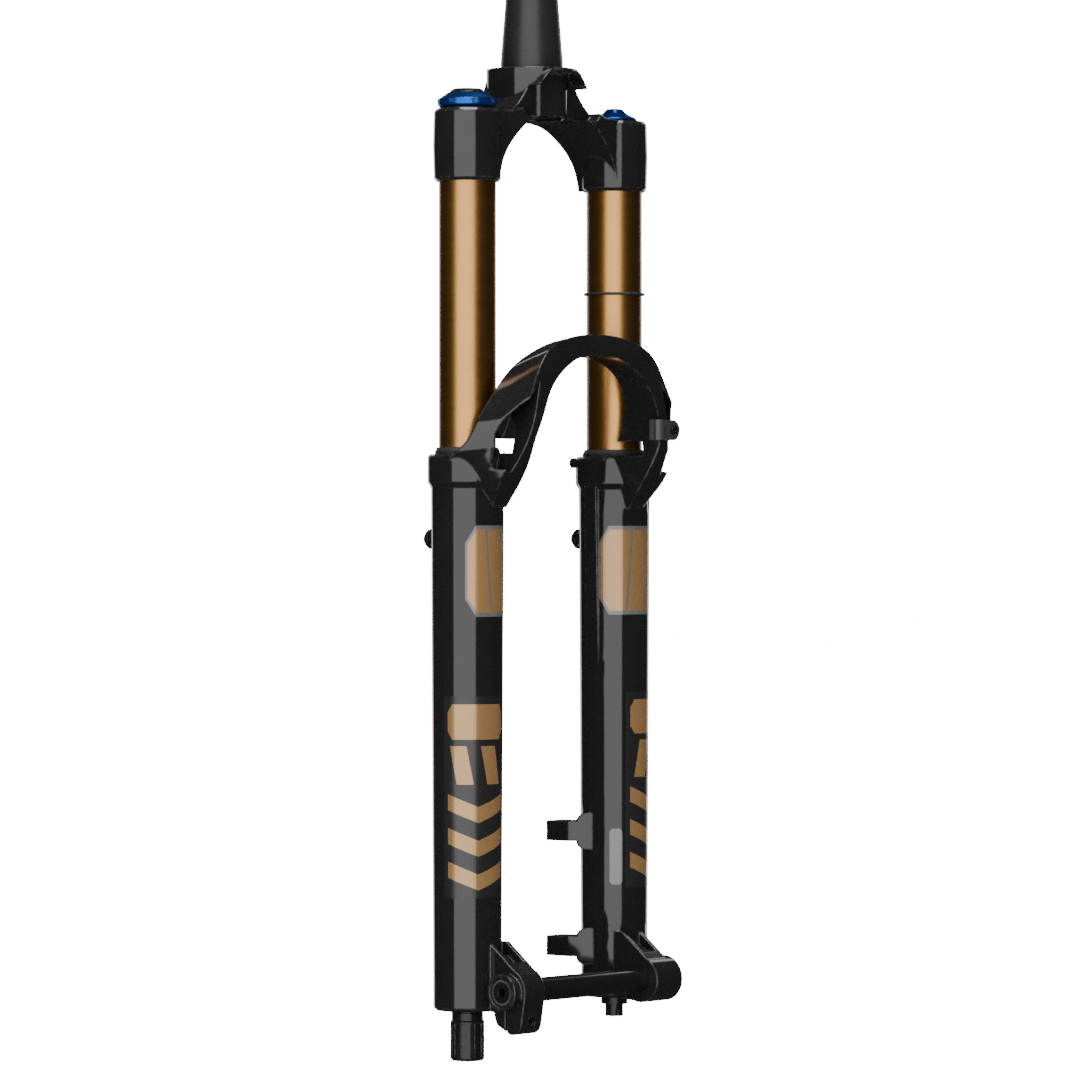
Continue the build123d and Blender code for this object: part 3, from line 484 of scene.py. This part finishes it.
def chamferedBlock(left, right, top, bottom, cutTurn, cutDown):
    # an eight-cornered block; turns rise to the right, heights run down
    return [
        (left + cutTurn, top), (right - cutTurn, top),
        (right, top + cutDown), (right, bottom - cutDown),
        (right - cutTurn, bottom), (left + cutTurn, bottom),
        (left, bottom - cutDown), (left, top + cutDown)]


def slantedBar(left, right, top, bottom, lean):
    return [(left + lean, top), (right + lean, top), (right, bottom), (left, bottom)]


# turns are degrees from the front towards outboard, heights are millimetres below the crown seat
badge = {
    "turns": (-72, -31, -27, 5, 9, 48),     # both edges of each of its three plates
    "top": 293,
    "bottom": 345,
    "lean": 10,
    "cutTurn": 14,
    "cutDown": 9,
}


def upperBadge(values):
    # a chamfered plate split into three by two slanted gaps
    turns, top, bottom = values["turns"], values["top"], values["bottom"]
    lean, cutTurn, cutDown = values["lean"], values["cutTurn"], values["cutDown"]
    first = [(turns[0] + cutTurn, top), (turns[1] + lean, top), (turns[1], bottom),
             (turns[0] + cutTurn, bottom), (turns[0], bottom - cutDown), (turns[0], top + cutDown)]
    middle = slantedBar(turns[2], turns[3], top, bottom, lean)
    last = [(turns[4] + lean, top), (turns[5] - cutTurn, top), (turns[5], top + cutDown),
            (turns[5], bottom - cutDown), (turns[5] - cutTurn, bottom), (turns[4], bottom)]
    return [first, middle, last]


stack = {
    "left": -22,
    "right": 82,
    "block": (402, 424, 8, 5),              # top, bottom and the two sizes of its cut corners
    "bars": (428, 452, 28, 12),             # top, bottom, width and lean
    "barStarts": (-14, 38),
    "arrowTops": (458, 479, 500),
    "arrowDrop": 8,
    "arrowThickness": 10,
}


def lowerStack(values):
    # a ladder of blocks and arrowheads down the leg
    left, right = values["left"], values["right"]
    shapes = [chamferedBlock(left, right, *values["block"])]
    top, bottom, width, lean = values["bars"]
    for start in values["barStarts"]:
        shapes.append(slantedBar(start, start + width, top, bottom, lean))
    middle = (left + right) / 2
    drop, thickness = values["arrowDrop"], values["arrowThickness"]
    for top in values["arrowTops"]:
        shapes.append([(left, top), (middle, top + drop), (right, top), (right, top + thickness),
                       (middle, top + drop + thickness), (left, top + thickness)])
    return shapes


plainFilms = {      # left and right turn, top, bottom and the two sizes of the cut corners
    "border": (-76, 52, 290.5, 347.5, 17, 11),
    "tag": (-58, -36, 485, 521, 4, 2),
}
field = [(-30, 397), (90, 397), (90, 523), (-30, 523)]
for sideName, side in (("left", 1), ("right", -1)):
    border = chamferedBlock(*plainFilms["border"])
    addFilm("upper_badge_border_" + sideName, side, [border], "graphic_grey", 0.6)
    addFilm("upper_badge_" + sideName, side, upperBadge(badge), "graphic_gold", 1.0)
    addFilm("lower_film_" + sideName, side, [field], "graphic_film", 0.5)
    addFilm("lower_badge_" + sideName, side, lowerStack(stack), "graphic_gold", 1.0)
tag = chamferedBlock(*plainFilms["tag"])
addFilm("inner_tag_left", 1, [tag], "graphic_grey", 0.8)
print("graphics laid on")


# ------- repeated detail, laid out by geometry nodes -------
def newLayout(name, inputs):
    # a geometry tree with named inputs, each one a kind and a starting value
    tree = bpy.data.node_groups.new(name, "GeometryNodeTree")
    common = {"Place": ("NodeSocketVector", None), "Turn": ("NodeSocketVector", None),
              "Material": ("NodeSocketMaterial", None)}
    for label, (kind, value) in {**inputs, **common}.items():
        socket = tree.interface.new_socket(label, in_out="INPUT", socket_type=kind)
        if value is not None:
            socket.default_value = value
    tree.interface.new_socket("Geometry", in_out="OUTPUT", socket_type="NodeSocketGeometry")
    start = tree.nodes.new("NodeGroupInput")
    return tree, start.outputs


def finishLayout(tree, start, instances):
    placed = addNode(tree, "GeometryNodeTransform", Geometry=instances, Translation=start["Place"],
                     Rotation=start["Turn"])
    solid = addNode(tree, "GeometryNodeRealizeInstances", Geometry=placed.outputs["Geometry"])
    painted = addNode(tree, "GeometryNodeSetMaterial", Geometry=solid.outputs["Geometry"],
                      Material=start["Material"])
    end = tree.nodes.new("NodeGroupOutput")
    tree.links.new(painted.outputs["Geometry"], end.inputs["Geometry"])


def mathStep(tree, operation, first, second):
    return addNode(tree, "ShaderNodeMath", {"operation": operation}, i0=first, i1=second).outputs["Value"]


def buildFacetRidges():
    # small blocks spaced along a polygon, on some facets only, each leaning the same way
    tree, start = newLayout("facetRidges", {
        "Facets": ("NodeSocketInt", 12), "Per Facet": ("NodeSocketInt", 9),
        "Facet Step": ("NodeSocketInt", 2), "First": ("NodeSocketFloat", 2.0),
        "Last": ("NodeSocketFloat", 7.0), "Radius": ("NodeSocketFloat", 0.017),
        "Size": ("NodeSocketVector", (0.0005, 0.0004, 0.0028)), "Lean": ("NodeSocketFloat", 0.4),
        "Unevenness": ("NodeSocketFloat", 0.05), "Seed": ("NodeSocketInt", 3)})
    outline = addNode(tree, "GeometryNodeCurvePrimitiveCircle", Resolution=start["Facets"],
                      Radius=start["Radius"])
    total = mathStep(tree, "MULTIPLY", start["Facets"], start["Per Facet"])
    spaced = addNode(tree, "GeometryNodeResampleCurve", Curve=outline.outputs["Curve"], Count=total)
    index = tree.nodes.new("GeometryNodeInputIndex").outputs["Index"]
    period = mathStep(tree, "MULTIPLY", start["Per Facet"], start["Facet Step"])
    along = mathStep(tree, "FLOORED_MODULO", index, period)
    late = mathStep(tree, "GREATER_THAN", along, mathStep(tree, "SUBTRACT", start["First"], 0.5))
    early = mathStep(tree, "LESS_THAN", along, mathStep(tree, "ADD", start["Last"], 0.5))
    used = mathStep(tree, "MULTIPLY", late, early)
    block = addNode(tree, "GeometryNodeMeshCube", Size=start["Size"])
    lean = addNode(tree, "ShaderNodeCombineXYZ", X=start["Lean"])
    leaning = addNode(tree, "GeometryNodeTransform", Geometry=block.outputs["Mesh"],
                      Rotation=lean.outputs["Vector"])
    tangent = tree.nodes.new("GeometryNodeInputTangent").outputs["Tangent"]
    facing = addNode(tree, "FunctionNodeAlignRotationToVector", {"axis": "Y", "pivot_axis": "Z"},
                     Vector=tangent)
    spread = tree.nodes.new("FunctionNodeRandomValue")
    low, high = [socket for socket in spread.inputs if socket.type == "VALUE"][:2]
    tree.links.new(mathStep(tree, "SUBTRACT", 1.0, start["Unevenness"]), low)
    high.default_value = 1.0
    tree.links.new(start["Seed"], spread.inputs["Seed"])
    size = [socket for socket in spread.outputs if socket.type == "VALUE"][0]
    placed = addNode(tree, "GeometryNodeInstanceOnPoints", Points=spaced.outputs["Curve"], Selection=used,
                     Instance=leaning.outputs["Geometry"], Rotation=facing.outputs["Rotation"], Scale=size)
    finishLayout(tree, start, placed.outputs["Instances"])
    return tree


def buildStackedRings():
    # thin round rings one above another, each a little narrower than the last
    tree, start = newLayout("stackedRings", {
        "Count": ("NodeSocketInt", 2), "Spacing": ("NodeSocketFloat", 0.001),
        "Radius": ("NodeSocketFloat", 0.02), "Thickness": ("NodeSocketFloat", 0.0003),
        "Taper": ("NodeSocketFloat", 0.005)})
    path = addNode(tree, "GeometryNodeCurvePrimitiveCircle", Resolution=96, Radius=start["Radius"])
    section = addNode(tree, "GeometryNodeCurvePrimitiveCircle", Resolution=8, Radius=start["Thickness"])
    ring = addNode(tree, "GeometryNodeCurveToMesh", Curve=path.outputs["Curve"],
                   Profile_Curve=section.outputs["Curve"])
    step = addNode(tree, "ShaderNodeCombineXYZ", Z=start["Spacing"])
    line = addNode(tree, "GeometryNodeMeshLine", Count=start["Count"], Offset=step.outputs["Vector"])
    index = tree.nodes.new("GeometryNodeInputIndex").outputs["Index"]
    narrower = mathStep(tree, "SUBTRACT", 1.0, mathStep(tree, "MULTIPLY", index, start["Taper"]))
    placed = addNode(tree, "GeometryNodeInstanceOnPoints", Points=line.outputs["Mesh"],
                     Instance=ring.outputs["Mesh"], Scale=narrower)
    finishLayout(tree, start, placed.outputs["Instances"])
    return tree


def layOut(name, tree, values, body):
    carrier = bpy.data.objects.new(name + "_carrier", bpy.data.meshes.new(name + "_carrier"))
    bpy.context.scene.collection.objects.link(carrier)
    modifier = carrier.modifiers.new("layout", "NODES")
    modifier.node_group = tree
    for item in tree.interface.items_tree:
        if item.in_out == "INPUT" and item.name in values:
            modifier[item.identifier] = values[item.name]
    evaluated = carrier.evaluated_get(bpy.context.evaluated_depsgraph_get())
    mesh = bpy.data.meshes.new_from_object(evaluated)
    bpy.data.objects.remove(carrier)
    bm = bmesh.new()
    bm.from_mesh(mesh)
    bmesh.ops.recalc_face_normals(bm, faces=bm.faces)
    for face in bm.faces:
        face.material_index = 0
    bm.to_mesh(mesh)
    bm.free()
    mesh.materials.clear()
    mesh.materials.append(values["Material"])
    piece = bpy.data.objects.new(name, mesh)
    bpy.context.scene.collection.objects.link(piece)
    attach(piece, body)
    print("laid out", name, len(mesh.polygons), "faces")


ridgeTree = buildFacetRidges()
ringTree = buildStackedRings()

knobRidges = {
    "Facets": 16,
    "Per Facet": 9,
    "Facet Step": 2,                        # ridges on every second facet
    "First": 2.0,
    "Last": 7.0,
    "Radius": 0.01863 / math.cos(math.pi / 16),     # out to the corners between the rim's flats
    "Size": (0.0005, 0.00042, 0.0028),      # radial, along the facet, up
    "Lean": 0.45,
    "Unevenness": 0.04,
    "Seed": 3,
    "Material": materials["blue_anodised"],
}
ridgeHeight = -0.0254                       # middle of the knob's rim
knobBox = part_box("compression_knob")
knobMiddle = (knobBox[0] + knobBox[1]) / 2
knobRidges["Place"] = (knobMiddle.x, knobMiddle.y, ridgeHeight)
layOut("knob_ridges", ridgeTree, knobRidges, "compression_knob")

axleTicks = {
    "Facets": 48,
    "Per Facet": 1,
    "Facet Step": 1,
    "First": 0.0,
    "Last": 0.0,
    "Radius": 0.0074,
    "Size": (0.0016, 0.00035, 0.0003),
    "Lean": 0.0,
    "Unevenness": 0.03,
    "Seed": 5,
    "Turn": (0.0, math.pi / 2, 0.0),
    "Material": materials["graphic_grey"],
}
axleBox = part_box("axle")
axleMiddle = (axleBox[0] + axleBox[1]) / 2
axleTicks["Place"] = (axleBox[0].x, axleMiddle.y, axleMiddle.z)
layOut("axle_ticks", ridgeTree, axleTicks, "axle")

wiperRings = {
    "Count": 2,
    "Spacing": 0.0009,
    "Radius": 0.02045,
    "Thickness": 0.00028,
    "Taper": 0.007,
    "Material": materials["seal_rubber"],
}
wiperHeight = -0.245                        # lowest ring
for sideName, side in (("left", 1), ("right", -1)):
    wiperRings["Place"] = (side * legAxis.x, legAxis.y, wiperHeight)
    layOut("wiper_rings_" + sideName, ringTree, wiperRings, "lowers")
print("repeated detail laid out")
